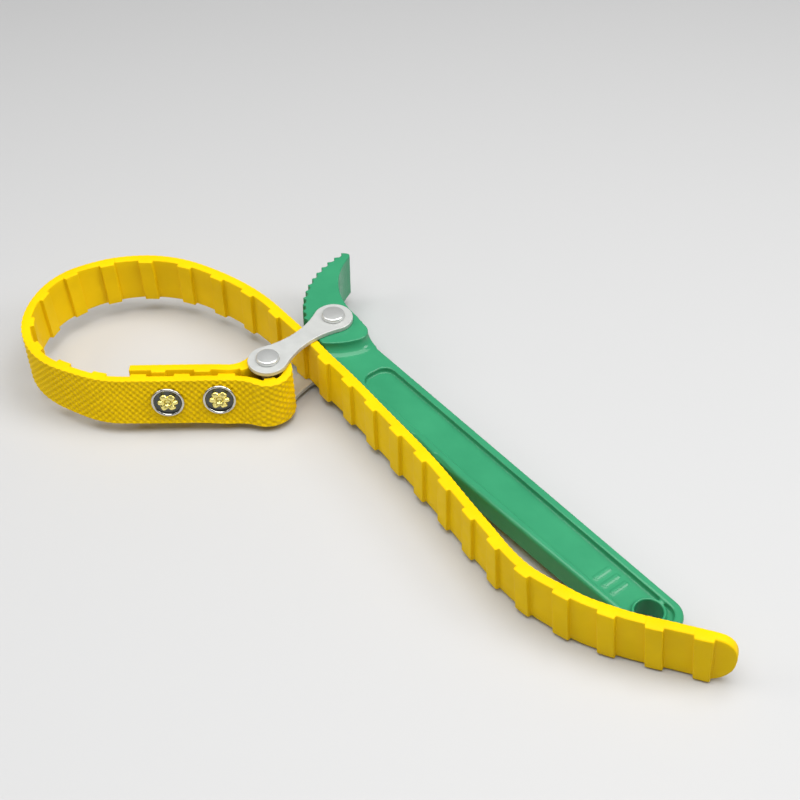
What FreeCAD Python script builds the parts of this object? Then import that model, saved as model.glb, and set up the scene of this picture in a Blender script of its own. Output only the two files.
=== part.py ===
"""Oil filter wrench: a cast handle with a toothed cam, two links and a ribbed rubber belt.

Frame: the origin is the centre of the hanging hole, half way through the handle.
+X runs along the handle to the cam, +Y points to the belt side, +Z is along the rivet axes.
"""
import FreeCAD, Part
import math
import os
import Sketcher
from FreeCAD import Placement, Rotation, Vector

UP = Vector(0, 0, 1)
UPRIGHT = Rotation(Vector(1, 0, 0), 90)

SIZES = [
    # handle bar
    ("bar_thickness", 12.5), ("bar_right", 12.1), ("bar_neck", 200.0), ("bar_edge_fillet", 1.8),
    ("neck_left", 10.4), ("belly_x", 142.0), ("belly_left", 13.0), ("waist_x", 107.0),
    ("waist_left", 13.0), ("butt_left", 10.3), ("butt_end", 13.6), ("butt_corner", 9.5),
    ("hang_hole_radius", 6.0), ("hang_lip_radius", 7.3), ("hang_lip_height", 2.0),
    # recess in both faces of the bar
    ("recess_depth", 2.8), ("recess_start", 184.0), ("recess_right", 8.0), ("recess_left", 8.6),
    ("recess_end", 10.0), ("recess_end_left", 7.6), ("recess_corner", 6.0), ("recess_fillet", 1.2),
    ("mark_length", 9.0), ("mark_width", 1.6), ("mark_height", 0.7), ("mark_pitch", 5.0),
    ("mark_start", 17.0),
    # head: boss, cam and horn
    ("pivot_x", 220.5), ("pivot_drop", 3.0), ("head_thickness", 25.2), ("head_bore_radius", 4.07),
    ("boss_left", 11.3), ("boss_right", 13.2), ("boss_curve_x", 233.4), ("boss_curve_drop", 12.7),
    ("boss_curve_radius", 33.2), ("boss_corner_radius", 7.0), ("cove_radius", 5.2),
    ("cam_centre_x", 206.0), ("cam_centre_drop", 41.9), ("cam_radius", 55.7), ("tooth_depth", 1.9),
    ("tooth_pitch", 5.4), ("tooth_first", 3.5), ("tooth_count", 13),
    ("hook_centre_x", 217.4), ("hook_centre_drop", 56.8), ("hook_radius", 42.4), ("hook_end", 24.0),
    # links and their rivets
    ("link_length", 43.7), ("link_rest_angle", 97.6), ("link_end_radius", 9.7), ("link_waist", 4.9),
    ("link_thickness", 2.3), ("link_gap", 25.4), ("rivet_head_radius", 5.8),
    ("rivet_head_side", 0.8), ("rivet_head_height", 2.6), ("rivet_flat_radius", 1.5),
    ("head_shank_radius", 4.0),
    ("belt_shank_radius", 3.0), ("spacer_bore_radius", 3.05), ("spacer_radius", 3.8),
    ("spacer_length", 25.2),
    # belt
    ("belt_width", 25.0), ("belt_base", 4.0), ("rib_height", 2.2), ("rib_width", 7.6),
    ("run_rib_pitch", 19.9), ("run_rib_count", 14), ("loop_rib_first", 22.0),
    ("loop_rib_pitch", 21.8), ("belt_start_left", 14.1), ("belt_heading", 1.5),
    ("fold_radius", 10.2), ("fold_entry_radius", 28.0), ("fold_entry_turn", 26.5),
    ("fold_exit_radius", 14.0), ("fold_gap", 3.0), ("return_length", 48.0),
    ("return_rib_inset", 5.0), ("feed_heading", 176.0), ("feed_gap", 0.3), ("tail_round", 11.5),
    # tubular rivets that hold the folded end
    ("clamp_shank_radius", 2.5), ("clamp_hole_radius", 2.55), ("clamp_head_radius", 6.2),
    ("clamp_head_thickness", 1.2), ("clamp_crimp_radius", 4.8), ("clamp_crimp_thickness", 0.9),
    ("clamp_bore_radius", 1.7), ("clamp_bore_depth", 5.0), ("washer_radius", 7.6),
    ("washer_thickness", 1.1), ("clamp_first", 286.8), ("clamp_pitch", 24.0),
]

# (length, radius, turn) of each stretch of the belt's mid-line: a straight run has no radius,
# and a turn is in degrees, to the left when it is positive.
LOOP_OPEN = [(24.4, 0, 0), (0, 142.0, 22.3)]
LOOP_TURN_RADIUS = 58.9
LOOP_TURN = 73.1
LOOP_CLOSE = [(0, 41.9, 103.2), (0, 65.1, 32.5), (50.6, 0, 0)]
RUN = [(0, 598.0, -10.0), (57.0, 0, 0), (0, 99.0, 42.0), (38.0, 0, 0)]


def fill_sheet(doc):
    sheet = doc.addObject("Spreadsheet::Sheet", "sizes")
    for row, (alias, value) in enumerate(SIZES, start=1):
        sheet.set("A%d" % row, alias)
        sheet.set("B%d" % row, str(value))
        sheet.setAlias("B%d" % row, alias)
    doc.recompute()
    return sheet


def origin_plane(body, role):
    return next(item for item in body.Origin.OriginFeatures if item.Role == role)


def new_sketch(body, name, role="XY_Plane", height=0.0):
    sketch = body.newObject("Sketcher::SketchObject", name)
    sketch.AttachmentSupport = [(origin_plane(body, role), "")]
    sketch.MapMode = "FlatFace"
    sketch.AttachmentOffset = Placement(Vector(0, 0, height), Rotation())
    return sketch


def draw_chain(sketch, items):
    """Add lines and three-point arcs; each item is (start, end) or (start, middle, end)."""
    for item in items:
        points = [Vector(x, y, 0) for x, y in item]
        if len(points) == 2:
            sketch.addGeometry(Part.LineSegment(*points), False)
        else:
            sketch.addGeometry(Part.Arc(*points), False)


def draw_polygon(sketch, corners):
    draw_chain(sketch, list(zip(corners, corners[1:] + corners[:1])))


def draw_circle(sketch, x, y, alias):
    """Add a circle whose centre is fixed and whose radius follows the sheet."""
    radius = sketch.Document.sizes.get(alias)
    circle = sketch.addGeometry(Part.Circle(Vector(x, y, 0), UP, radius), False)
    for kind, value in (("DistanceX", x), ("DistanceY", y)):
        sketch.addConstraint(Sketcher.Constraint(kind, -1, 1, circle, 3, value))
    index = sketch.addConstraint(Sketcher.Constraint("Radius", circle, radius))
    sketch.setExpression("Constraints[%d]" % index, "sizes." + alias)


def add_feature(body, kind, name, profile, length=None):
    feature = body.newObject("PartDesign::" + kind, name)
    feature.Profile = profile
    if length:
        feature.setExpression("Length", length)
    profile.Visibility = False
    return feature


def on_circle(centre, radius, degrees):
    angle = math.radians(degrees)
    return (centre[0] + radius * math.cos(angle), centre[1] + radius * math.sin(angle))


# ---------------------------------------------------------------- handle

def bar_outline(size):
    """The bar seen from above, from the neck round the butt and back."""
    end, corner = -size("butt_end"), size("butt_corner")
    right, left = -size("bar_right"), size("butt_left")
    neck = size("bar_neck") + 14
    low, high = (end + corner, right + corner), (end + corner, left - corner)
    return [
        ((neck, size("neck_left")), (size("belly_x"), size("belly_left")),
         (size("waist_x"), size("waist_left"))),
        ((size("waist_x"), size("waist_left")), (end + corner, left)),
        ((end + corner, left), on_circle(high, corner, 135), (end, left - corner)),
        ((end, left - corner), (end, right + corner)),
        ((end, right + corner), on_circle(low, corner, 225), (end + corner, right)),
        ((end + corner, right), (neck, right)),
        ((neck, right), (neck, size("neck_left"))),
    ]


def recess_outline(size):
    """The shallow recess: straight sides that follow the bar, and round ends."""
    near, far, corner = size("recess_start"), -size("recess_end"), size("recess_corner")
    right, left, end_left = -size("recess_right"), size("recess_left"), size("recess_end_left")
    near_high, near_low = (near - corner, left - corner), (near - corner, right + corner)
    far_high, far_low = (far + corner, end_left - corner), (far + corner, right + corner)
    middle = size("waist_x")
    return [
        ((near - corner, right), on_circle(near_low, corner, 315), (near, right + corner)),
        ((near, right + corner), (near, left - corner)),
        ((near, left - corner), on_circle(near_high, corner, 45), (near - corner, left)),
        ((near - corner, left), (middle, left)),
        ((middle, left), (far + corner, end_left)),
        ((far + corner, end_left), on_circle(far_high, corner, 135), (far, end_left - corner)),
        ((far, end_left - corner), (far, right + corner)),
        ((far, right + corner), on_circle(far_low, corner, 225), (far + corner, right)),
        ((far + corner, right), (near - corner, right)),
    ]


def tooth_edge(size):
    """Saw teeth along the cam, from the horn's tip to the boss."""
    centre = (size("cam_centre_x"), -size("cam_centre_drop"))
    tip, root = size("cam_radius"), size("cam_radius") - size("tooth_depth")
    points = []
    for number in range(int(size("tooth_count"))):
        start = size("tooth_first") + number * size("tooth_pitch")
        points.append(on_circle(centre, root, start - 0.35 * size("tooth_pitch")))
        points.append(on_circle(centre, tip, start))
        points.append(on_circle(centre, root, start + 0.25 * size("tooth_pitch")))
    return points


def boss_curves(size):
    """Centre and radius of the boss's end and of its rounded right corner, and where they meet."""
    end = (size("boss_curve_x"), -size("boss_curve_drop"))
    radius, corner = size("boss_curve_radius"), size("boss_corner_radius")
    rise = corner - size("boss_right") - end[1]
    across = math.sqrt((radius - corner) ** 2 - rise ** 2)
    meeting = 180 - math.degrees(math.asin(rise / (radius - corner)))
    return (end, radius), ((end[0] - across, end[1] + rise), corner), meeting


def head_outline(size):
    """Boss, toothed cam and hooked horn as one profile."""
    hook = (size("hook_centre_x"), -size("hook_centre_drop"))
    radius, hook_end = size("hook_radius"), size("hook_end")
    inner_tip = on_circle(hook, radius, hook_end)
    inner_start = on_circle(hook, radius, 90)
    teeth = tooth_edge(size)
    horn_cap = (inner_tip[0] + 2.6, inner_tip[1] - 1.5)
    end, corner, meeting = boss_curves(size)
    left = size("boss_left")
    leftmost = 180 - math.degrees(math.asin((left - end[0][1]) / end[1]))
    shoulder, edge_start = (teeth[-1][0] - 3.0, left), on_circle(*end, leftmost)
    joint, side = on_circle(*end, meeting), on_circle(*corner, 270)
    return [
        (side, inner_start),
        (inner_start, on_circle(hook, radius, (90 + hook_end) / 2), inner_tip),
        (inner_tip, horn_cap, teeth[0]),
        *zip(teeth, teeth[1:]),
        (teeth[-1], shoulder), (shoulder, edge_start),
        (edge_start, on_circle(*end, (leftmost + meeting) / 2), joint),
        (joint, on_circle(*corner, (meeting + 270) / 2), side),
    ]


def cove_outline(size, radius):
    """Hollow fillet from the bar's faces up the boss's wall, above and below, cut at an axis."""
    half, cove = size("bar_thickness") / 2, size("cove_radius")
    foot, inside = radius + cove, radius - 1.0
    edges = []
    for side in (1, -1):
        low, face, high = side * (half - 2.2), side * half, side * (half + cove)
        middle = on_circle((foot, high), cove, -135 * side)
        edges += [((inside, low), (inside, high)), ((inside, high), (radius, high)),
                  ((radius, high), middle, (foot, face)), ((foot, face), (foot, low)),
                  ((foot, low), (inside, low))]
    return edges


def add_cove(body, size):
    """The cove turned round both curves of the boss, then trimmed to the bar's sides."""
    end, corner, meeting = boss_curves(size)
    for name, (centre, radius), first, last in (("end", end, 134.5, meeting),
                                                ("corner", corner, meeting, 240.0)):
        sketch = body.newObject("Sketcher::SketchObject", "cove_%s_sketch" % name)
        sketch.Placement = Placement(Vector(*centre, 0), Rotation(UP, first) * UPRIGHT)
        draw_chain(sketch, cove_outline(size, radius))
        turned = add_feature(body, "Revolution", "cove_" + name, sketch)
        turned.ReferenceAxis = (sketch, ["V_Axis"])
        turned.Angle = last - first

    left, right, wall = size("neck_left") + 0.1, -size("bar_right") - 0.1, corner[0][0] - 3.6
    sketch = new_sketch(body, "neck_sides_sketch")
    draw_polygon(sketch, [(210.3, left), (190, left + 0.8), (190, 30), (210.3, 30)])
    draw_polygon(sketch, [(190, right), (wall, right), (wall, -30), (190, -30)])
    trim = add_feature(body, "Pocket", "neck_sides", sketch)
    trim.Type = "ThroughAll"
    trim.Midplane = True


def edges_at(shape, test):
    return ["Edge%d" % number for number, edge in enumerate(shape.Edges, start=1) if test(edge)]


def level(edge, height):
    box = edge.BoundBox
    return abs(box.ZMin - height) < 1e-4 and abs(box.ZMax - height) < 1e-4


def add_fillet(body, base, name, alias, test):
    base.Document.recompute()
    fillet = body.newObject("PartDesign::Fillet", name)
    fillet.Base = (base, edges_at(base.Shape, test))
    fillet.setExpression("Radius", "sizes." + alias)
    base.Document.recompute()
    return fillet


def add_marks(body, size):
    """Three plain raised bars near the butt, in place of any lettering."""
    floor = size("bar_thickness") / 2 - size("recess_depth")
    sketch = new_sketch(body, "mark_sketch", height=floor)
    half = size("mark_width") / 2
    for number in range(3):
        x = size("mark_start") + number * size("mark_pitch")
        low, high = -size("mark_length") / 2, size("mark_length") / 2
        corners = [(x - half, low), (x + half, low), (x + half, high), (x - half, high)]
        draw_polygon(sketch, corners)
    return add_feature(body, "Pad", "marks", sketch, "sizes.mark_height")


def add_lips(body, size):
    """Low raised ring round the hanging hole, on both floors of the recess."""
    floor = size("bar_thickness") / 2 - size("recess_depth")
    sketch = new_sketch(body, "lip_sketch", height=floor)
    draw_circle(sketch, 0.0, 0.0, "hang_lip_radius")
    add_feature(body, "Pad", "lip", sketch, "sizes.hang_lip_height")
    sketch = new_sketch(body, "other_lip_sketch", height=-floor)
    draw_circle(sketch, 0.0, 0.0, "hang_lip_radius")
    lip = add_feature(body, "Pad", "other_lip", sketch, "sizes.hang_lip_height")
    lip.Reversed = True


def make_handle(doc, size):
    body = doc.addObject("PartDesign::Body", "handle")
    sketch = new_sketch(body, "bar_sketch")
    draw_chain(sketch, bar_outline(size))
    bar = add_feature(body, "Pad", "bar", sketch, "sizes.bar_thickness")
    bar.Midplane = True
    half = size("bar_thickness") / 2
    add_fillet(body, bar, "bar_edges", "bar_edge_fillet",
               lambda edge: (level(edge, half) or level(edge, -half))
               and edge.BoundBox.XMin < size("bar_neck"))

    sketch = new_sketch(body, "recess_sketch", height=half)
    draw_chain(sketch, recess_outline(size))
    recess = add_feature(body, "Pocket", "recess", sketch, "sizes.recess_depth")
    doc.recompute()
    other = body.newObject("PartDesign::Mirrored", "other_recess")
    other.Originals = [recess]
    other.MirrorPlane = (origin_plane(body, "XY_Plane"), [""])
    body.Tip = other
    doc.recompute()
    add_marks(body, size)
    add_lips(body, size)

    sketch = new_sketch(body, "head_sketch")
    draw_chain(sketch, head_outline(size))
    head = add_feature(body, "Pad", "head", sketch, "sizes.head_thickness")
    head.Midplane = True
    add_cove(body, size)

    sketch = new_sketch(body, "hole_sketch")
    draw_circle(sketch, 0.0, 0.0, "hang_hole_radius")
    draw_circle(sketch, size("pivot_x"), -size("pivot_drop"), "head_bore_radius")
    holes = add_feature(body, "Pocket", "holes", sketch)
    holes.Type = "ThroughAll"
    holes.Midplane = True
    body.Tip = holes
    return body


# ---------------------------------------------------------------- links and rivets

def link_place(size, height=0.0):
    return Placement(Vector(size("pivot_x"), -size("pivot_drop"), height),
                     Rotation(UP, size("link_rest_angle")))


def link_outline(size):
    """Two round ends joined by a waist whose concave sides are tangent to both ends."""
    length, end, waist = size("link_length"), size("link_end_radius"), size("link_waist")
    side = (length ** 2 / 4 + waist ** 2 - end ** 2) / (2 * (end - waist))
    angle = math.degrees(math.atan2(side + waist, length / 2))
    near, far, middle = (0.0, 0.0), (length, 0.0), length / 2
    top_near, top_far = on_circle(near, end, angle), on_circle(far, end, 180 - angle)
    low_near, low_far = on_circle(near, end, -angle), on_circle(far, end, angle - 180)
    return [
        (top_near, (middle, waist), top_far),
        (top_far, (length + end, 0.0), low_far),
        (low_far, (middle, -waist), low_near),
        (low_near, (-end, 0.0), top_near),
    ]


def make_link(doc, size, name, height):
    body = doc.addObject("PartDesign::Body", name)
    sketch = new_sketch(body, name + "_sketch")
    draw_chain(sketch, link_outline(size))
    draw_circle(sketch, 0.0, 0.0, "head_shank_radius")
    draw_circle(sketch, size("link_length"), 0.0, "belt_shank_radius")
    add_feature(body, "Pad", name + "_plate", sketch, "sizes.link_thickness")
    body.Placement = link_place(size, height)
    return body


def make_pivot_rivet(doc, size, name, shank_alias, distance):
    """A solid rivet with a low domed head on each side, a little flat on top."""
    body = doc.addObject("PartDesign::Body", name)
    sketch = new_sketch(body, name + "_sketch", role="XZ_Plane")
    shank, head = size(shank_alias), size("rivet_head_radius")
    under = size("link_gap") / 2 + size("link_thickness")
    rim, top = under + size("rivet_head_side"), under + size("rivet_head_height")
    flat, drop = size("rivet_flat_radius"), top - rim
    curve = ((head - flat) ** 2 + drop ** 2) / (2 * drop)
    half = math.asin((head - flat) / curve) / 2
    dome = (flat + curve * math.sin(half), top - curve * (1 - math.cos(half)))
    draw_chain(sketch, [
        ((0, -top), (0, top)), ((0, top), (flat, top)),
        ((flat, top), dome, (head, rim)),
        ((head, rim), (head, under)), ((head, under), (shank, under)),
        ((shank, under), (shank, -under)), ((shank, -under), (head, -under)),
        ((head, -under), (head, -rim)), ((head, -rim), (dome[0], -dome[1]), (flat, -top)),
        ((flat, -top), (0, -top)),
    ])
    turned = add_feature(body, "Revolution", name + "_turned", sketch)
    turned.ReferenceAxis = (sketch, ["V_Axis"])
    turned.Angle = 360
    body.Placement = link_place(size) * Placement(Vector(distance, 0, 0), Rotation())
    return body


def make_tube(doc, name, outer_alias, inner_alias, length_alias):
    parts = []
    for label, alias in (("outer", outer_alias), ("inner", inner_alias)):
        cylinder = doc.addObject("Part::Cylinder", name + "_" + label)
        cylinder.setExpression("Radius", "sizes." + alias)
        cylinder.setExpression("Height", "sizes." + length_alias)
        parts.append(cylinder)
    tube = doc.addObject("Part::Cut", name)
    tube.Base, tube.Tool = parts
    return tube


# ---------------------------------------------------------------- belt

class BeltLine:
    """The belt's mid-line as tangent runs and arcs, with a frame at any distance along it."""

    def __init__(self, start, heading, stretches):
        self.parts = []
        place, angle, travelled = Vector(*start, 0), math.radians(heading), 0.0
        for length, radius, turn in stretches:
            sweep = math.radians(turn)
            length = length or radius * abs(sweep)
            self.parts.append((travelled, length, place, angle, sweep))
            place, angle = self.move(place, angle, sweep, length, length)
            travelled += length
        self.length = travelled

    @staticmethod
    def move(place, angle, sweep, length, distance):
        turned = angle + sweep * distance / length
        if sweep == 0:
            return place + Vector(math.cos(angle), math.sin(angle), 0) * distance, turned
        radius = length / sweep
        step = Vector(math.sin(turned) - math.sin(angle), math.cos(angle) - math.cos(turned), 0)
        return place + step * radius, turned

    def at(self, distance):
        """Return (point, heading in radians) at a distance along the line."""
        for travelled, length, place, angle, sweep in self.parts:
            if distance <= travelled + length + 1e-9:
                break
        return self.move(place, angle, sweep, length, distance - travelled)

    def beside(self, distance, left):
        point, angle = self.at(distance)
        return point + Vector(-math.sin(angle), math.cos(angle), 0) * left

    def edge(self, part, left, start=0.0, end=1.0):
        """One stretch of the line moved sideways, as an edge."""
        travelled, length = part[0], part[1]
        first, last = travelled + length * start, travelled + length * end
        ends = [self.beside(first, left), self.beside(last, left)]
        if part[4] == 0:
            return Part.LineSegment(*ends).toShape()
        return Part.Arc(ends[0], self.beside((first + last) / 2, left), ends[1]).toShape()


def belt_solid(size, line, ribs, rib_side):
    """Base strip along the line with a rib at each distance; rib_side is 1 for left."""
    width, half = size("belt_width"), size("belt_base") / 2
    edges = [line.edge(part, half) for part in line.parts]
    back = [line.edge(part, -half) for part in reversed(line.parts)]
    first, last = line.parts[0], line.parts[-1]
    caps = [Part.LineSegment(line.beside(last[0] + last[1], half),
                             line.beside(last[0] + last[1], -half)).toShape(),
            Part.LineSegment(line.beside(0, -half), line.beside(0, half)).toShape()]
    wire = Part.Wire(Part.__sortEdges__(edges + caps[:1] + back + caps[1:]))
    strip = Part.Face(wire).extrude(Vector(0, 0, width))
    blocks = [rib_block(size, line, distance, rib_side) for distance in ribs]
    solid = strip.fuse(blocks).removeSplitter() if blocks else strip
    solid.translate(Vector(0, 0, -width / 2))
    return solid


def rib_block(size, line, distance, side):
    half = size("rib_width") / 2
    low, high = size("belt_base") / 2 - 0.8, size("belt_base") / 2 + size("rib_height")
    point, angle = line.at(distance)
    block = Part.makeBox(2 * half, high - low, size("belt_width"))
    block.translate(Vector(-half, low if side > 0 else -high, 0))
    block.Placement = Placement(point, Rotation(UP, math.degrees(angle))) * block.Placement
    return block


def fold_stretches(size):
    """The fold: out a little, round the spacer, and back parallel to the near leg."""
    radius, entry, leave = size("fold_radius"), size("fold_entry_radius"), size("fold_exit_radius")
    turn = size("fold_entry_turn")
    cosine = math.cos(math.radians(turn))
    apart = size("belt_base") + size("fold_gap")
    other = (apart - radius * cosine + entry * (1 - cosine) + leave) / (radius + leave)
    exit_turn = math.degrees(math.acos(other))
    return [(0, entry, -turn), (0, radius, 180 + turn + exit_turn), (0, leave, -exit_turn),
            (size("return_length"), 0, 0)]


def loop_lines(size):
    """The belt's loop, cut in two where it runs square to the feed direction."""
    start = (size("pivot_x"), size("belt_start_left"))
    heading = size("belt_heading")
    opened = heading + sum(turn for _, _, turn in LOOP_OPEN)
    before = size("feed_heading") - 90 - opened
    gap = math.degrees(size("feed_gap") / LOOP_TURN_RADIUS)
    near = BeltLine(start, heading, LOOP_OPEN + [(0, LOOP_TURN_RADIUS, before)])
    whole = BeltLine(start, heading, LOOP_OPEN + [(0, LOOP_TURN_RADIUS, before + gap)])
    point, angle = whole.at(whole.length)
    rest = [(0, LOOP_TURN_RADIUS, LOOP_TURN - before - gap)] + LOOP_CLOSE
    rest += fold_stretches(size)
    far = BeltLine((point.x, point.y), math.degrees(angle), rest)
    return near, far, whole.length


def spaced(first, pitch, low, high):
    """Distances first, first + pitch, ... that lie between low and high."""
    count = int((high - first) / pitch) + 1
    return [first + n * pitch for n in range(count) if first + n * pitch > low]


def make_feature(doc, name, shape):
    feature = doc.addObject("Part::Feature", name)
    feature.Shape = shape
    return feature


def clamp_places(size, far, offset):
    """Placement of each clamp rivet: its Z axis points out of the belt's knurled face."""
    places = []
    for number in range(2):
        distance = size("clamp_first") + number * size("clamp_pitch") - offset
        point, angle = far.at(distance)
        outward = Vector(math.sin(angle), -math.cos(angle), 0)
        face = point + outward * size("belt_base") / 2
        places.append(Placement(face, Rotation(UP, outward)))
    return places


def make_fixed_end(doc, size, far, offset):
    """Near half of the loop, folded round the spacer and riveted back on itself."""
    half_rib, pitch = size("rib_width") / 2, size("loop_rib_pitch")
    fold_start = far.parts[-4][0]
    ribs = spaced(size("loop_rib_first") - offset, pitch, half_rib, fold_start - half_rib)
    last = far.length - size("return_rib_inset")
    ribs += [last, last - pitch]
    solid = belt_solid(size, far, ribs, 1)
    for place in clamp_places(size, far, offset):
        drill = Part.makeCylinder(size("clamp_hole_radius"), 20, Vector(0, 0, -17), UP)
        drill.Placement = place
        solid = solid.cut(drill)
    return make_feature(doc, "belt_fixed_end", solid)


def round_tail(size, solid, line):
    """Round the free end in its width: the two short edges at the end's corners."""
    end = line.at(line.length)[0]
    corners = [edge for edge in solid.Edges
               if abs(edge.Length - size("belt_base")) < 1e-3
               and edge.BoundBox.ZLength < 1e-3
               and (Vector(edge.CenterOfMass.x, edge.CenterOfMass.y, 0) - end).Length < 1.0]
    return solid.makeFillet(size("tail_round"), corners)


def make_run(doc, size, near):
    """Far half of the loop, the run beside the handle and the free tail."""
    start = (size("pivot_x"), size("belt_start_left"))
    back = BeltLine(start, size("belt_heading") + 180, RUN)
    loop_ribs = spaced(size("loop_rib_first"), size("loop_rib_pitch"), 0, near.length - 4)
    pitch, count = size("run_rib_pitch"), int(size("run_rib_count"))
    loop_part = belt_solid(size, near, loop_ribs, 1)
    run_part = belt_solid(size, back, [number * pitch for number in range(count)], -1)
    whole = loop_part.fuse(round_tail(size, run_part, back)).removeSplitter()
    return make_feature(doc, "belt_run", whole)


def make_washer(doc, size, name, place):
    washer = make_tube(doc, name, "washer_radius", "clamp_hole_radius", "washer_thickness")
    washer.Placement = place
    return washer


def make_clamp_rivet(doc, size, name, place, grip):
    """Tubular rivet: a wide head inside the loop and a rolled-over end on the washer."""
    body = doc.addObject("PartDesign::Body", name)
    sketch = new_sketch(body, name + "_sketch", role="XZ_Plane")
    shank, bore = size("clamp_shank_radius"), size("clamp_bore_radius")
    head, crimp = size("clamp_head_radius"), size("clamp_crimp_radius")
    seat = size("washer_thickness")
    top, floor = seat + size("clamp_crimp_thickness"), seat - size("clamp_bore_depth")
    under, back = -grip, -grip - size("clamp_head_thickness")
    corners = [(0, floor), (bore, floor), (bore, top), (crimp, top), (crimp, seat),
               (shank, seat), (shank, under), (head, under), (head, back), (0, back)]
    draw_polygon(sketch, corners)
    turned = add_feature(body, "Revolution", name + "_turned", sketch)
    turned.ReferenceAxis = (sketch, ["V_Axis"])
    turned.Angle = 360
    body.Placement = place
    return body


# ---------------------------------------------------------------- whole wrench

def check_document(doc, nodes):
    bad = [item.Name for item in doc.Objects
           if any(word in item.State for word in ("Invalid", "Error"))]
    if bad:
        raise RuntimeError("failed objects: " + ", ".join(bad))
    for node in nodes:
        if node.Shape.isNull() or not node.Shape.isValid():
            raise RuntimeError("bad shape: " + node.Label)


def build():
    doc = FreeCAD.newDocument("oil_filter_wrench")
    size = fill_sheet(doc).get
    gap = size("link_gap") / 2
    nodes = [
        make_handle(doc, size),
        make_link(doc, size, "upper_link", gap),
        make_link(doc, size, "lower_link", -gap - size("link_thickness")),
        make_pivot_rivet(doc, size, "head_rivet", "head_shank_radius", 0.0),
        make_pivot_rivet(doc, size, "belt_rivet", "belt_shank_radius", size("link_length")),
    ]
    spacer = make_tube(doc, "belt_spacer", "spacer_radius", "spacer_bore_radius", "spacer_length")
    spacer.Placement = link_place(size) * Placement(
        Vector(size("link_length"), 0, -size("spacer_length") / 2), Rotation())
    nodes.append(spacer)

    near, far, offset = loop_lines(size)
    nodes.append(make_fixed_end(doc, size, far, offset))
    nodes.append(make_run(doc, size, near))
    grip = clamp_grip(size, far, offset)
    for number, place in enumerate(clamp_places(size, far, offset), start=1):
        nodes.append(make_washer(doc, size, "clamp_washer_%d" % number, place))
        nodes.append(make_clamp_rivet(doc, size, "clamp_rivet_%d" % number, place, grip))
    for node in nodes:
        node.Label = node.Name
    doc.recompute()
    check_document(doc, nodes)
    return nodes


def clamp_grip(size, far, offset):
    """Distance from the near leg's knurled face to the returned layer's knurled face."""
    place = clamp_places(size, far, offset)[0]
    outward = place.Rotation.multVec(UP)
    end = far.beside(far.length, -size("belt_base") / 2)
    return (place.Base - end).dot(outward)


def main():
    nodes = build()
    os.makedirs("parts", exist_ok=True)
    for node in nodes:
        node.Shape.exportStep("parts/%s.step" % node.Label)
        print("%-16s volume %9.1f mm3" % (node.Label, node.Shape.Volume))


main()
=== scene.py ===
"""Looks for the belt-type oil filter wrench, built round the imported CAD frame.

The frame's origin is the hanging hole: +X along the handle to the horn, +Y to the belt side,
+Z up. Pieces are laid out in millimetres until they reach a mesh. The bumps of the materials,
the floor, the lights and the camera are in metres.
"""

import math

import bmesh
import bpy
import numpy as np
from mathutils import Matrix, Vector

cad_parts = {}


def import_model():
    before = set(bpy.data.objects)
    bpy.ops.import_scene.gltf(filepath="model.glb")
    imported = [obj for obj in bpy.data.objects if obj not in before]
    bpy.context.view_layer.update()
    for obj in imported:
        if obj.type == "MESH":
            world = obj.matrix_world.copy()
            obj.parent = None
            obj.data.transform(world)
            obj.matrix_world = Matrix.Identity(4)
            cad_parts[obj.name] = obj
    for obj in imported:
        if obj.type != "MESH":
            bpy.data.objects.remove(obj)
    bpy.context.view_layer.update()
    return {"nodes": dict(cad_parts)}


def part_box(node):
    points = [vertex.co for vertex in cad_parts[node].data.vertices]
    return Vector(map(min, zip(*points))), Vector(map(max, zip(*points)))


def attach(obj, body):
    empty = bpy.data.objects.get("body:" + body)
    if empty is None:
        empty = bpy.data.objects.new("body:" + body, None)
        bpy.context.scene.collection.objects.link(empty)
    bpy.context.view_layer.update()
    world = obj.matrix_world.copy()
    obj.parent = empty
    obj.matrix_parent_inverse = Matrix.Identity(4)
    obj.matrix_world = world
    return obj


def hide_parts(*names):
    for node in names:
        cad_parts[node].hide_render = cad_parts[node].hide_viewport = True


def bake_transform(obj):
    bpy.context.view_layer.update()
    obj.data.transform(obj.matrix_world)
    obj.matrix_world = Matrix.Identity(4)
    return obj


MM = 0.001

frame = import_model()


# ---------------------------------------------------------------- belt line

ANCHOR = (220.5, 14.1)
HEADING = 1.5
FOLD_RADIUS, FOLD_ENTRY, FOLD_TURN, FOLD_EXIT = 10.2, 28.0, 26.5, 14.0
LAYERS_APART = 7.0
RETURN_LENGTH = 48.0
HALF_BASE, HALF_WIDTH = 2.3, 12.5
RIB_HALF, RIB_FOOT = 3.8, 0.55
RUN_PITCH, RUN_RIBS = 19.9, 14
LOOP_FIRST, LOOP_PITCH, LOOP_RIBS = 23.2, 21.0, 20


def exit_turn():
    """Turn that brings the returned layer parallel to the near leg."""
    cosine = math.cos(math.radians(FOLD_TURN))
    other = LAYERS_APART - FOLD_RADIUS * cosine + FOLD_ENTRY * (1 - cosine) + FOLD_EXIT
    return math.degrees(math.acos(other / (FOLD_RADIUS + FOLD_EXIT)))


# Stretches of the belt's path as (length, radius, turn in degrees). A straight one has no turn,
# and a bend's length comes from its radius and its turn. The fold is the loop's last four.
LOOP = [(24.4, 0, 0), (0, 142.0, 22.3), (0, 58.9, 73.1), (0, 41.9, 103.2), (0, 65.1, 32.5),
        (50.6, 0, 0), (0, FOLD_ENTRY, -FOLD_TURN), (0, FOLD_RADIUS, 180 + FOLD_TURN + exit_turn()),
        (0, FOLD_EXIT, -exit_turn()), (RETURN_LENGTH, 0, 0)]
RUN = [(0, 598.0, -10.0), (57.0, 0, 0), (0, 99.0, 42.0), (38.0, 0, 0)]


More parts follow.
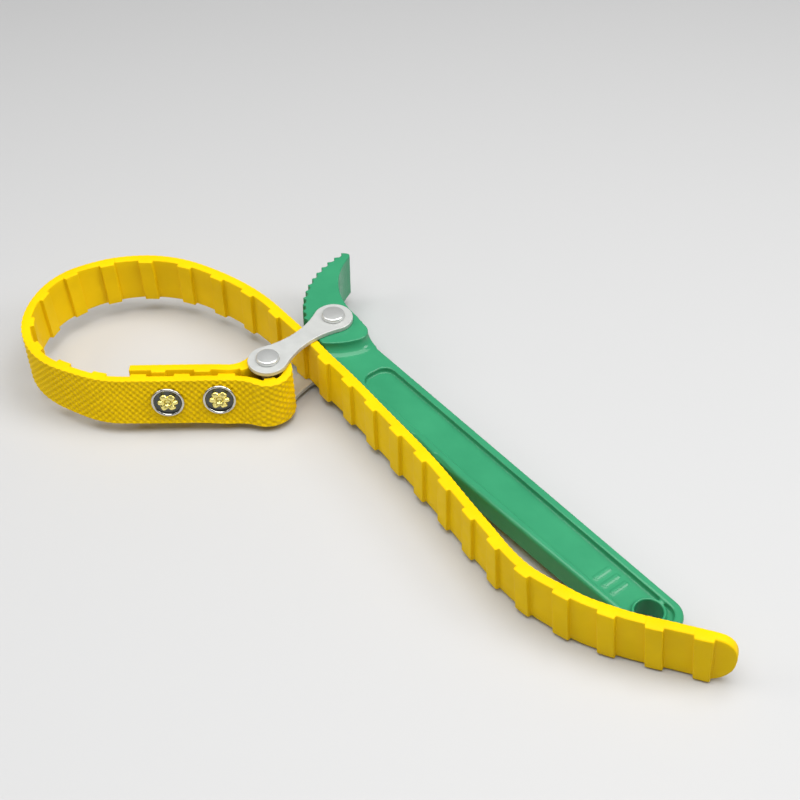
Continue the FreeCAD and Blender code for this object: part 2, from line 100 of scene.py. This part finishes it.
def advance(place, angle, sweep, length, distance):
    """Point and heading after a distance along one straight or circular stretch."""
    if sweep == 0:
        return place + distance * np.array([math.cos(angle), math.sin(angle)]), angle
    turned, radius = angle + sweep * distance / length, length / sweep
    step = [math.sin(turned) - math.sin(angle), math.cos(angle) - math.cos(turned)]
    return place + radius * np.array(step), turned


def lay_out(stretches, heading):
    """Each stretch's (distance at start, length, start point, start heading, sweep), and the total."""
    place, angle, travelled, laid = np.array(ANCHOR), math.radians(heading), 0.0, []
    for length, radius, turn in stretches:
        sweep = math.radians(turn)
        length = length or radius * abs(sweep)
        laid.append((travelled, length, place, angle, sweep))
        place, angle = advance(place, angle, sweep, length, length)
        travelled += length
    return laid, travelled


LOOP_LAID, LOOP_END = lay_out(LOOP, HEADING)
RUN_LAID, RUN_END = lay_out(RUN, HEADING + 180)
FOLD_START = LOOP_LAID[-4][0]


def middle(station):
    """Point and heading on the mid-line; stations below 0 lie on the run beside the handle."""
    laid = LOOP_LAID if station >= 0 else RUN_LAID
    distance = abs(station)
    for travelled, length, place, angle, sweep in laid:
        if distance <= travelled + length + 1e-9:
            break
    point, heading = advance(place, angle, sweep, length, distance - travelled)
    return point, heading if station >= 0 else heading - math.pi


def rib_stations():
    """Middle of every rib, on the run beside the handle and round the loop."""
    ribs = [-RUN_PITCH * number for number in range(RUN_RIBS)]
    return ribs + [LOOP_FIRST + LOOP_PITCH * number for number in range(LOOP_RIBS)]


RIBS = np.array(sorted(rib_stations()))

# The belt is soft, so it strays from its flat path: degrees of lean across and along the belt,
# then millimetres aside, onward and up.
LEAN = ((-RUN_END, -2.5), (-242.0, -0.5), (-203.0, 0.0), (-178.0, 2.6), (-143.0, 0.1),
        (-105.0, -1.1), (-43.0, 0.2), (30.0, 0.0), (83.0, 2.0), (110.0, 1.0), (131.0, -1.0),
        (151.0, -5.0), (175.0, -3.0), (215.0, 0.0), (262.0, 8.0), (300.0, 8.0), (FOLD_START, 11.0),
        (FOLD_START + 30.0, 2.0), (LOOP_END - 50.0, -5.0), (LOOP_END - 40.0, -8.0), (LOOP_END, -8.0))
SKEW = ((-RUN_END, 1.0), (-RUN_END + 16.0, 7.0), (-203.0, 6.3), (-163.0, 4.0), (-63.0, 3.3),
        (-23.0, 0.5), (83.0, 0.0), (105.0, 2.0), (131.0, 2.3), (180.0, 1.0), (215.0, 0.0))
ASIDE = ((-RUN_END, -2.3), (-222.0, -2.2), (-203.0, -1.3), (-175.0, 0.2), (-123.0, 0.6),
         (-60.0, 2.1), (-23.0, 1.4), (0.0, 0.0), (50.0, -1.3), (145.0, -1.3), (185.0, 1.2),
         (235.0, 1.2), (262.0, -1.0), (290.0, -1.2), (FOLD_START - 8.0, -1.2), (FOLD_START + 25.0, 0.0))
ONWARD = ((-RUN_END, 0.2), (-203.0, -0.7), (-143.0, -3.1), (-83.0, -2.6), (-43.0, -1.4),
          (0.0, 0.0), (23.0, -0.5), (44.0, 0.8), (65.0, 0.6), (86.0, 0.0), (107.0, 0.6),
          (128.0, 0.0), (149.0, -1.0), (170.0, -1.4), (191.0, -0.4), (254.0, 0.0), (275.0, -1.6),
          (317.0, -2.1), (345.0, 0.0), (LOOP_END - 48.0, 0.0), (LOOP_END - 20.0, 0.4),
          (LOOP_END, -1.2))
LIFT = ((-RUN_END, 6.8), (-RUN_END + 12.0, 5.0), (-203.0, 3.9), (-123.0, 2.3), (-63.0, 1.2),
        (0.0, 0.0), (305.0, 0.0), (FOLD_START + 5.0, -0.9), (LOOP_END - 50.0, 0.0))


def along(table, station):
    """Value between the table's stations, eased at each one."""
    for (first, low), (last, high) in zip(table, table[1:]):
        if station <= last:
            share = min(max((station - first) / (last - first), 0.0), 1.0)
            return low + (high - low) * share * share * (3 - 2 * share)
    return table[-1][1]


def unit(vector):
    return vector / np.linalg.norm(vector)


def belt_frame(station):
    """Point on the straying mid-line, unit tangent, unit rib-side normal and unit upward edge."""
    point, heading = middle(station)
    lean, skew = (math.tan(math.radians(along(table, station))) for table in (LEAN, SKEW))
    ahead = np.array([math.cos(heading), math.sin(heading), 0.0])
    left = np.array([-math.sin(heading), math.cos(heading), 0.0])
    edge = unit(np.array([0.0, 0.0, 1.0]) + left * lean + ahead * skew)
    normal = unit(left - edge * np.dot(left, edge))
    origin = np.array([point[0], point[1], along(LIFT, station)])
    origin += left * along(ASIDE, station) + ahead * along(ONWARD, station)
    return origin, np.cross(normal, edge), normal, edge


# ---------------------------------------------------------------- mesh helpers

def new_object(name, verts, faces, smooth=True):
    mesh = bpy.data.meshes.new(name)
    mesh.from_pydata([tuple(v) for v in verts], [], faces)
    mesh.validate()
    mesh.polygons.foreach_set("use_smooth", [smooth] * len(mesh.polygons))
    obj = bpy.data.objects.new(name, mesh)
    bpy.context.scene.collection.objects.link(obj)
    return obj


def face_outward(obj):
    """The object with the faces of its closed mesh all turned outward."""
    bm = bmesh.new()
    bm.from_mesh(obj.data)
    bmesh.ops.recalc_face_normals(bm, faces=bm.faces)
    bm.to_mesh(obj.data)
    bm.free()
    return obj


def finish_piece(obj, mat, body, node):
    """Give a piece its material and body, in place of a CAD node; one without a body is left
    unattached.
    """
    obj.data.materials.clear()
    obj.data.materials.append(mat)
    if body:
        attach(obj, body)
    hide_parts(node)


def tube_faces(rings, count):
    """Quads between closed rings of count points each."""
    base = np.arange(count)
    after = (base + 1) % count
    faces = []
    for ring in range(rings - 1):
        low, high = ring * count, (ring + 1) * count
        faces += np.stack([low + base, low + after, high + after, high + base], 1).tolist()
    return faces


def end_faces(rings, count):
    """One face on the first ring and one on the last."""
    return [list(range(count)), list(range((rings - 1) * count, rings * count))[::-1]]


# ---------------------------------------------------------------- belt mesh

KNURL_PITCH, KNURL_DEPTH, KNURL_POWER = 3.5, 0.85, 1.2
KNURL_AT_EDGE, KNURL_GAIN = 0.4, 0.4
STATION_STEP, STATION_GAP = 0.40, 0.035
END_STEPS = (0.0, 0.06, 0.2, 0.4, 0.65, 0.95, 1.3)
END_RADIUS = 1.1
TAIL_ROUND, TAIL_POWER = 11.8, 2.2
TIP_LENGTH = 30.0
EDGE_ROUND, TIP_ROUND, MOST_ROUND = 0.45, 0.65, 0.9
CORNER_ANGLES = (0, 30, 60, 90)
OUTER_POINTS, INNER_POINTS = 57, 7

# A rib's flank as (distance from its middle, height above the belt's base).
RIB_EDGE = ((0.0, 1.9), (2.8, 1.9), (3.35, 1.89), (3.57, 1.81), (3.69, 1.67), (3.75, 1.49),
            (3.85, 0.42), (3.93, 0.18), (4.09, 0.05), (4.35, 0.0))


def rib_rise(station):
    """Height of the rib face above the belt's base at a station."""
    offset = np.abs(RIBS - station).min()
    return float(np.interp(offset, [p[0] for p in RIB_EDGE], [p[1] for p in RIB_EDGE]))


def stations_between(first, last):
    """Even steps for the knurl, with extra ones at the rib edges and at the rounded free end."""
    even = np.linspace(first, last, int((last - first) / STATION_STEP) + 1)
    edges = [rib + side * offset for rib in RIBS for side in (-1, 1)
             for offset, _ in RIB_EDGE[1:]]
    ends = [-RUN_END + step for step in END_STEPS]
    values = np.array(sorted(list(even) + edges + ends))
    values = values[(values >= first) & (values <= last)]
    keep = np.concatenate([[True], np.diff(values) > STATION_GAP])
    return values[keep]


def half_width_at(station):
    """Half the belt's width, drawn in along the rounded free end."""
    left = min((station + RUN_END) / TAIL_ROUND, 1.0)
    return HALF_WIDTH * max(1 - (1 - left) ** TAIL_POWER, 0.0) ** (1 / TAIL_POWER)


def end_shrink(station):
    """How much the rounded free end takes off each face."""
    left = min(station + RUN_END, END_RADIUS)
    return END_RADIUS - math.sqrt(max(END_RADIUS ** 2 - (END_RADIUS - left) ** 2, 0.0))


def knurl(u, v, half):
    """Depth below the outer face of crossed diagonal grooves, shallower along the belt's edges."""
    wave = np.cos(2 * math.pi * u / KNURL_PITCH) * np.cos(2 * math.pi * v / KNURL_PITCH)
    fade = min(1.0, KNURL_AT_EDGE + KNURL_GAIN * (half - abs(v)))
    return KNURL_DEPTH * fade * float(0.5 - 0.5 * wave) ** KNURL_POWER


def belt_section(station):
    """Closed section as (distance to the rib side, height) pairs."""
    shrink = end_shrink(station)
    half = half_width_at(station)
    tip = 1.0 - min((station + RUN_END) / TIP_LENGTH, 1.0)
    rounding = min(EDGE_ROUND + TIP_ROUND * tip ** 2, MOST_ROUND * half)
    inner = HALF_BASE + rib_rise(station) - shrink
    outer = -HALF_BASE + shrink
    flat = half - rounding
    groove = knurl(station, flat, half)
    turns = [math.radians(angle) for angle in CORNER_ANGLES]
    top = [(inner - rounding + rounding * math.cos(a), flat + rounding * math.sin(a))
           for a in turns]
    top += [(outer + rounding - (rounding - groove * math.cos(a)) * math.cos(a),
             flat + rounding * math.sin(a)) for a in reversed(turns)]
    face = [(outer + knurl(station, v, half), v)
            for v in np.linspace(flat, -flat, OUTER_POINTS)[1:-1]]
    bottom = [(a, -b) for a, b in reversed(top)]
    inside = [(inner, v) for v in np.linspace(-flat, flat, INNER_POINTS)[1:-1]]
    return top + face + bottom + inside


def belt_piece(name, first, last):
    """The belt between two stations, closed at both ends."""
    stations, verts = stations_between(first, last), []
    for station in stations:
        origin, _, normal, edge = belt_frame(station)
        section = belt_section(station)
        verts += [(origin + normal * a + edge * b) * MM for a, b in section]
    rings, count = len(stations), len(section)
    return face_outward(new_object(name, verts, tube_faces(rings, count) + end_faces(rings, count)))


# ---------------------------------------------------------------- materials

# Noise between these two levels spans the whole of a ramp.
NOISE_LOW, NOISE_HIGH = 0.3, 0.7
# Plated metal's darkest patches, and its smoothest and roughest ones, as shares of its own values.
PLATED_DARK, PLATED_SMOOTH, PLATED_ROUGH = 0.9, 0.94, 1.08


def material(name, color, metallic=0.0, roughness=0.5, **sockets):
    mat = bpy.data.materials.new(name)
    mat.use_nodes = True
    shader = mat.node_tree.nodes["Principled BSDF"]
    shader.inputs["Base Color"].default_value = (*color, 1)
    shader.inputs["Metallic"].default_value = metallic
    shader.inputs["Roughness"].default_value = roughness
    for key, value in sockets.items():
        shader.inputs[key.replace("_", " ")].default_value = value
    return mat


def noise(mat, scale, detail=4.0):
    """Noise in object coordinates; scale is in features per metre."""
    nodes = mat.node_tree.nodes
    coords, texture = nodes.new("ShaderNodeTexCoord"), nodes.new("ShaderNodeTexNoise")
    texture.inputs["Scale"].default_value = scale
    texture.inputs["Detail"].default_value = detail
    mat.node_tree.links.new(coords.outputs["Object"], texture.inputs["Vector"])
    return texture.outputs["Fac"]


def ramp(mat, source, low, high):
    """Source mapped onto two colours, or two numbers for a plain value."""
    nodes, links = mat.node_tree.nodes, mat.node_tree.links
    if isinstance(low, (int, float)):
        node = nodes.new("ShaderNodeMapRange")
        levels = {"From Min": NOISE_LOW, "From Max": NOISE_HIGH, "To Min": low, "To Max": high}
        for key, value in levels.items():
            node.inputs[key].default_value = value
        links.new(source, node.inputs["Value"])
        return node.outputs["Result"]
    node = nodes.new("ShaderNodeValToRGB")
    first, last = node.color_ramp.elements
    first.position, last.position = NOISE_LOW, NOISE_HIGH
    first.color, last.color = (*low, 1), (*high, 1)
    links.new(source, node.inputs["Fac"])
    return node.outputs["Color"]


def link_to(mat, source, socket):
    mat.node_tree.links.new(source, mat.node_tree.nodes["Principled BSDF"].inputs[socket])


def bumps(mat, *layers):
    """Chain bump nodes; each layer is (source, strength, height in metres)."""
    nodes, links = mat.node_tree.nodes, mat.node_tree.links
    last = None
    for source, strength, distance in layers:
        node = nodes.new("ShaderNodeBump")
        node.inputs["Strength"].default_value = strength
        node.inputs["Distance"].default_value = distance
        links.new(source, node.inputs["Height"])
        if last:
            links.new(last, node.inputs["Normal"])
        last = node.outputs["Normal"]
    link_to(mat, last, "Normal")


def rubber():
    mat = material("yellow_rubber", (0.84, 0.56, 0.001), roughness=0.5, Specular_IOR_Level=0.08)
    link_to(mat, ramp(mat, noise(mat, 55), (0.80, 0.525, 0.0008), (0.87, 0.58, 0.0014)),
            "Base Color")
    link_to(mat, ramp(mat, noise(mat, 240, 6), 0.42, 0.58), "Roughness")
    bumps(mat, (noise(mat, 3200, 5), 0.15, 0.00004), (noise(mat, 420, 3), 0.1, 0.00008))
    return mat


def green_paint():
    mat = material("green_paint", (0.012, 0.27, 0.11), roughness=0.4, Coat_Weight=0.16,
                   Coat_Roughness=0.05, Coat_IOR=2.0, Specular_IOR_Level=0.1)
    link_to(mat, ramp(mat, noise(mat, 60), (0.030, 0.250, 0.118), (0.038, 0.285, 0.136)),
            "Base Color")
    link_to(mat, ramp(mat, noise(mat, 500, 5), 0.30, 0.42), "Roughness")
    bumps(mat, (noise(mat, 110, 2), 0.18, 0.00015), (noise(mat, 900, 3), 0.05, 0.00003))
    return mat


def plated(name, color, roughness, metallic=1.0, grain=1400, wave=0.15):
    """Metal with faint patches and fine grain; wave is the strength of its slow unevenness."""
    mat = material(name, color, metallic=metallic, roughness=roughness)
    dark = tuple(c * PLATED_DARK for c in color)
    smooth, rough = roughness * PLATED_SMOOTH, roughness * PLATED_ROUGH
    link_to(mat, ramp(mat, noise(mat, 180, 6), dark, color), "Base Color")
    link_to(mat, ramp(mat, noise(mat, grain, 6), smooth, rough), "Roughness")
    bumps(mat, (noise(mat, grain, 3), 0.08, 0.000008), (noise(mat, 150, 2), wave, 0.00004))
    return mat


RUBBER, PAINT = rubber(), green_paint()
LINK = plated("link_zinc", (0.60, 0.61, 0.59), 0.5, metallic=0.4)
RIVET = plated("rivet_bright", (0.74, 0.75, 0.73), 0.34, metallic=0.7, wave=0.03)
WASHER = plated("washer_steel", (0.10, 0.105, 0.10), 0.2)
# The washer's steel made lighter: a painted highlight for its rolled rim.
RIM_HIGHLIGHT = plated("washer_rim_painted_highlight", (0.66, 0.65, 0.60), 0.2)
CRIMP = plated("clamp_plated", (1.0, 0.87, 0.28), 0.14, metallic=0.75, grain=900)


# ---------------------------------------------------------------- belt pieces

# The belt is parted at the foot of this rib of the loop, counted from 0. The run piece, up to the
# cut, rides the feeding side; the loop piece, with the near leg, the fold and the returned layer, has
# no body.
CUT_RIB = 5
CUT = LOOP_FIRST + CUT_RIB * LOOP_PITCH - RIB_HALF - RIB_FOOT

run_piece = belt_piece("belt_run_rubber", -RUN_END, CUT)
finish_piece(run_piece, RUBBER, "belt_feed", "belt_run")
loop_piece = belt_piece("belt_loop_rubber", CUT, LOOP_END)
finish_piece(loop_piece, RUBBER, None, "belt_fixed_end")
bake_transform(loop_piece)


# ---------------------------------------------------------------- softened metal pieces

HANDLE_VOXEL, LINK_VOXEL = 0.5, 0.25
SMOOTH_FACTOR, SMOOTH_ROUNDS = 0.5, 5
WELD_DISTANCE = 0.001


def weld(mesh):
    bm = bmesh.new()
    bm.from_mesh(mesh)
    bmesh.ops.remove_doubles(bm, verts=bm.verts, dist=WELD_DISTANCE * MM)
    bm.to_mesh(mesh)
    bm.free()


def applied(obj):
    """The object with its modifiers worked into its mesh."""
    bpy.context.view_layer.update()
    mesh = bpy.data.meshes.new_from_object(obj.evaluated_get(bpy.context.evaluated_depsgraph_get()))
    obj.modifiers.clear()
    old, obj.data = obj.data, mesh
    bpy.data.meshes.remove(old)
    mesh.polygons.foreach_set("use_smooth", [True] * len(mesh.polygons))
    return obj


def softened(node, name, voxel):
    """A copy of a CAD node's shape with its edges eased, as a casting or tumbling leaves them."""
    source = frame["nodes"][node].data
    verts = [v.co.copy() for v in source.vertices]
    obj = new_object(name, verts, [list(p.vertices) for p in source.polygons])
    weld(obj.data)
    remesh = obj.modifiers.new("remesh", "REMESH")
    remesh.mode = "VOXEL"
    remesh.voxel_size = voxel * MM
    remesh.use_smooth_shade = True
    smooth = obj.modifiers.new("smooth", "SMOOTH")
    smooth.factor = SMOOTH_FACTOR
    smooth.iterations = SMOOTH_ROUNDS
    return applied(obj)


finish_piece(softened("handle", "handle_casting", HANDLE_VOXEL), PAINT, "handle",
             "handle")
for side in ("upper", "lower"):
    finish_piece(softened(side + "_link", side + "_link_plate", LINK_VOXEL), LINK, "links",
                 side + "_link")


# ---------------------------------------------------------------- turned pieces

PIVOT_SEGMENTS, SPACER_SEGMENTS, WASHER_SEGMENTS, CRIMP_SEGMENTS = 72, 48, 96, 120
ARC_POINTS = 10


def turned_point(place, radius, angle, height):
    """Point in metres at a radius, an angle and a height, in millimetres, about place's Z axis."""
    return (place @ Vector((radius * math.cos(angle), radius * math.sin(angle), height))) * MM


def lathe(name, profile, segments, place, closed=True):
    """Turn a profile of (radius, height) pairs, in millimetres, about the Z axis of place.

    A closed profile joins up with itself, and one that isn't gets a flat face at each end.
    """
    angles = [2 * math.pi * step / segments for step in range(segments)]
    verts = [turned_point(place, radius, angle, height)
             for radius, height in profile for angle in angles]
    rings = len(profile)
    faces = tube_faces(rings, segments)
    if closed:
        last = (rings - 1) * segments
        faces += [[last + k, last + (k + 1) % segments, (k + 1) % segments, k]
                  for k in range(segments)]
    else:
        faces += end_faces(rings, segments)
    return face_outward(new_object(name, verts, faces))


def arc(centre, radius, start, end):
    return [(centre[0] + radius * math.cos(math.radians(a)),
             centre[1] + radius * math.sin(math.radians(a)))
            for a in np.linspace(start, end, ARC_POINTS)]


def upright_at(node):
    """Millimetre frame on the vertical axis through the middle of a CAD node."""
    low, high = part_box(node)
    centre = (low + high) / 2 / MM
    return Matrix.Translation((centre.x, centre.y, 0))


def pivot_rivet(name, node, shank):
    """Both flat-crowned heads and the shank between them, as one turned piece."""
    under, top, head, crown, edge = 15.0, 17.6, 5.6, 0.3, 1.0
    cap, bevel_rise, bevel_inset = 0.02, 0.45, 0.3
    dome_from, rim_from = 89.5, 85
    curve = ((head - edge) ** 2 + crown ** 2) / (2 * crown)
    sweep = math.degrees(math.asin((head - edge) / curve))
    dome = arc((0.0, top - curve), curve, dome_from, 90 - sweep)
    rim = arc((head - edge, top - crown - edge), edge, rim_from, 0) + [(head, under + bevel_rise)]
    half = [(cap, top)] + dome + rim + [(head - bevel_inset, under), (shank, under)]
    profile = half + [(r, -h) for r, h in reversed(half)]
    return lathe(name, profile, PIVOT_SEGMENTS, upright_at(node), closed=False)


for name, node, shank in (("head_rivet_turned", "head_rivet", 4.0),
                          ("belt_rivet_turned", "belt_rivet", 3.0)):
    finish_piece(pivot_rivet(name, node, shank), RIVET, "links", node)

SPACER_PROFILE = [(3.05, -12.4), (3.25, -12.6), (3.6, -12.6), (3.8, -12.4),
                  (3.8, 12.4), (3.6, 12.6), (3.25, 12.6), (3.05, 12.4)]
spacer = lathe("belt_spacer_tube", SPACER_PROFILE, SPACER_SEGMENTS, upright_at("belt_spacer"))
finish_piece(spacer, LINK, "links", "belt_spacer")


# ---------------------------------------------------------------- clamp rivets

# Station along the belt and height above its middle, for each rivet.
CLAMPS = ((288.9, 0.7), (314.0, 2.0))
GRIP = 12.9

# The steps of the washer's profile in WASHER_HIGHLIGHT_ROWS are its rolled edge, which is painted with
# a lighter copy of the washer's steel as a highlight.
WASHER_PROFILE = ([(2.55, 0.1), (2.6, 0.0), (7.3, 0.0)] + arc((7.3, 0.68), 0.68, -60, 130)
                  + [(6.75, 0.98), (6.35, 0.66), (4.4, 0.64), (3.0, 0.72), (2.7, 0.7), (2.55, 0.6)])
WASHER_HIGHLIGHT_ROWS = range(2, 13)

# The rows of the rivet's profile in PETAL_ROWS are split into petals, which open between
# PETAL_START and PETAL_START + PETAL_LENGTH from the axis. Rows above PETAL_BACK also droop.
CRIMP_PROFILE = [(0.3, 0.05), (1.0, 0.1), (1.3, 0.35), (1.5, 0.8), (1.9, 1.35), (2.5, 1.8),
                 (3.2, 1.95), (4.0, 1.8), (4.7, 1.4), (5.05, 0.95), (4.9, 0.74), (4.2, 0.7),
                 (3.2, 0.7), (2.5, 0.6), (2.5, -GRIP), (5.6, -GRIP), (6.1, -GRIP - 0.25),
                 (6.2, -GRIP - 0.6), (5.9, -GRIP - 1.0), (5.2, -GRIP - 1.2), (0.3, -GRIP - 1.2)]
PETAL_ROWS = range(4, 12)
PETAL_START, PETAL_LENGTH, PETAL_BACK, PETAL_SKEW = 1.4, 3.2, 0.9, 0.4
NOTCH_POWER, NOTCH_CUT, NOTCH_DROP = 1.8, 0.34, 1.1
CREASES, CREASE_HEIGHT = 9, 0.22


def clamp_place(station, height):
    """Millimetre frame on the belt's knurled face, its Z axis pointing out of the loop."""
    origin, tangent, normal, edge = belt_frame(station)
    face = origin - normal * HALF_BASE + edge * height
    rows = np.eye(4)
    rows[:3, 0], rows[:3, 1], rows[:3, 2], rows[:3, 3] = tangent, edge, -normal, face
    return Matrix([list(r) for r in rows])


def petalled(row, radius, height, angle):
    """Radius and height of a row of the rivet's profile at an angle, as its six petals leave it."""
    if row not in PETAL_ROWS:
        return radius, height
    share = min(max((radius - PETAL_START) / PETAL_LENGTH, 0.0), 1.0)
    petal = abs(math.cos(3 * angle + PETAL_SKEW * math.sin(2 * angle)))
    notch = (1 - petal) ** NOTCH_POWER
    crease = CREASE_HEIGHT * math.sin(CREASES * angle + radius) * share
    drop = (NOTCH_DROP * notch * share + crease) if height > PETAL_BACK else 0.0
    return radius * (1 - NOTCH_CUT * notch * share), height - drop


def crimped_rivet(name, place):
    """Tubular rivet with its end split and rolled out into six petals, and a wide head behind."""
    angles = [2 * math.pi * step / CRIMP_SEGMENTS for step in range(CRIMP_SEGMENTS)]
    verts = []
    for row, (radius, height) in enumerate(CRIMP_PROFILE):
        for angle in angles:
            reach, level = petalled(row, radius, height, angle)
            verts.append(turned_point(place, reach, angle, level))
    rings = len(CRIMP_PROFILE)
    faces = tube_faces(rings, CRIMP_SEGMENTS) + end_faces(rings, CRIMP_SEGMENTS)
    return face_outward(new_object(name, verts, faces))


for number, (station, height) in enumerate(CLAMPS, start=1):
    place = clamp_place(station, height)
    washer = lathe("clamp_washer_%d_dished" % number, WASHER_PROFILE, WASHER_SEGMENTS, place)
    finish_piece(washer, WASHER, "belt_anchor", "clamp_washer_%d" % number)
    # The rolled rim's rows get the lighter steel, a painted highlight.
    washer.data.materials.append(RIM_HIGHLIGHT)
    for polygon in washer.data.polygons:
        polygon.material_index = int(polygon.index // WASHER_SEGMENTS in WASHER_HIGHLIGHT_ROWS)
    rivet = crimped_rivet("clamp_rivet_%d_crimped" % number, place)
    finish_piece(rivet, CRIMP, "belt_anchor", "clamp_rivet_%d" % number)


# ---------------------------------------------------------------- floor, light, camera

LIT_POINT = (0.17, 0.03, 0.0)
LIGHTS = (("top_softbox", (0.10, 0.05, 1.10), (1.3, 1.0), 18),
          ("right_softbox", (-0.43, -0.57, 0.70), (0.4, 0.4), 4),
          ("left_softbox", (0.75, 0.72, 0.63), (0.45, 0.45), 2.2))


def floor():
    """Plain sloping ground that the pivot rivets and the belt's free end rest on."""
    size, slope, level_x, level_z = 6.0, 0.038, 0.22, 0.0177
    verts = [(x, y, slope * (level_x - x) - level_z)
             for x, y in ((-size, -size), (size, -size), (size, size), (-size, size))]
    obj = new_object("floor", verts, [(0, 1, 2, 3)], smooth=False)
    obj.data.materials.append(material("floor_pale", (0.52, 0.52, 0.52), roughness=0.55))


def area_light(name, place, size, power):
    """Rectangular lamp that faces the middle of the tool."""
    data = bpy.data.lights.new(name, "AREA")
    data.shape, data.size, data.size_y, data.energy = "RECTANGLE", size[0], size[1], power
    obj = bpy.data.objects.new(name, data)
    obj.location = place
    obj.rotation_euler = (Vector(LIT_POINT) - Vector(place)).to_track_quat("-Z", "Y").to_euler()
    bpy.context.scene.collection.objects.link(obj)


def world(strength):
    made = bpy.data.worlds.new("studio")
    made.use_nodes = True
    made.node_tree.nodes["Background"].inputs["Color"].default_value = (1, 1, 1, 1)
    made.node_tree.nodes["Background"].inputs["Strength"].default_value = strength
    bpy.context.scene.world = made


def camera():
    data = bpy.data.cameras.new("camera")
    data.lens, data.sensor_width = 63.5, 36.0
    data.clip_start = 0.01
    obj = bpy.data.objects.new("camera", data)
    place, target = Vector((-0.2158, 0.3029, 0.4685)), Vector((0.1806, -0.0134, -0.0185))
    obj.location = place
    obj.rotation_euler = (target - place).to_track_quat("-Z", "Y").to_euler()
    bpy.context.scene.collection.objects.link(obj)
    bpy.context.scene.camera = obj


bpy.context.scene.view_settings.view_transform = "Standard"
floor()
for light in LIGHTS:
    area_light(*light)
world(0.18)
camera()
